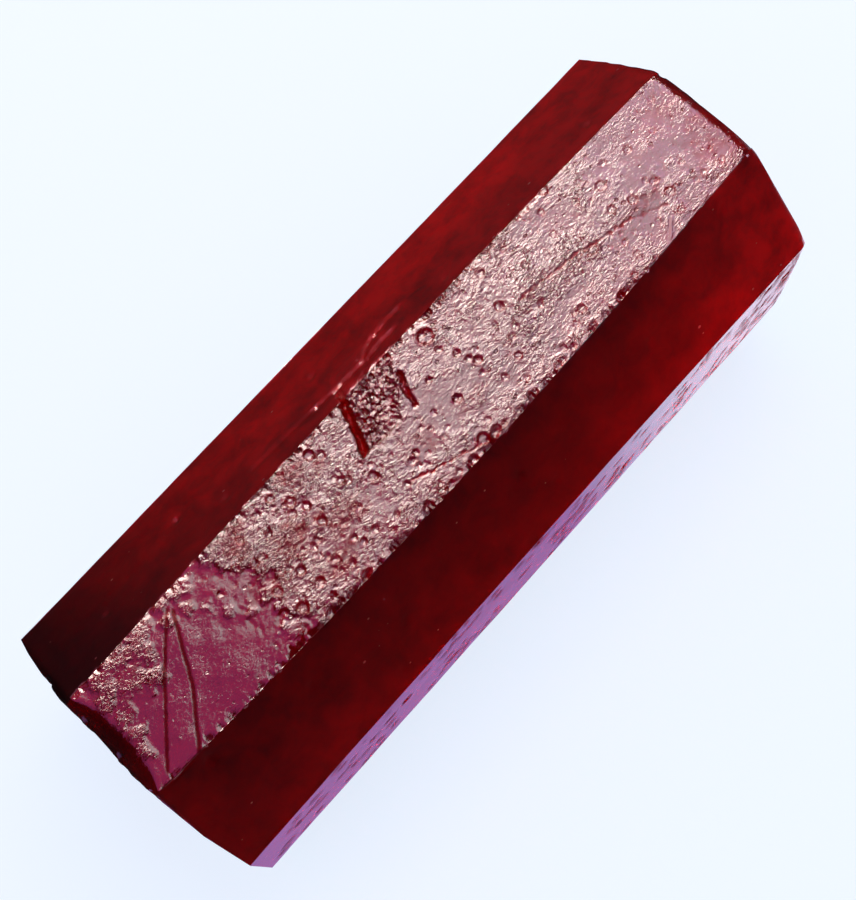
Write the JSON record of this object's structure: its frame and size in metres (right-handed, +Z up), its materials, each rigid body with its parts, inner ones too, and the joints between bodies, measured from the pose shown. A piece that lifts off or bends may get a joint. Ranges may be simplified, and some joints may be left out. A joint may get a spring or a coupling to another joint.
{
  "type": "rough red beryl crystal",
  "caption": "Rough deep-red beryl crystal: a stout prism with long flat faces, a pitted and gouged top face, and worn, broken ends.",
  "frame": {"origin": "under the middle of the crystal, on the surface that it lies on", "axes": "+X along the crystal towards its head end, +Z up through the pitted face, +Y to its left side"},
  "size_m": [0.0912, 0.0338, 0.0338],
  "materials": {
    "red_beryl": "natural crystal, glossy on its grown faces, etched and pitted on the top face, rough on its broken ends"
  },
  "bodies": {
    "root": {"beryl_crystal": "red_beryl"}
  },
  "joints": []
}
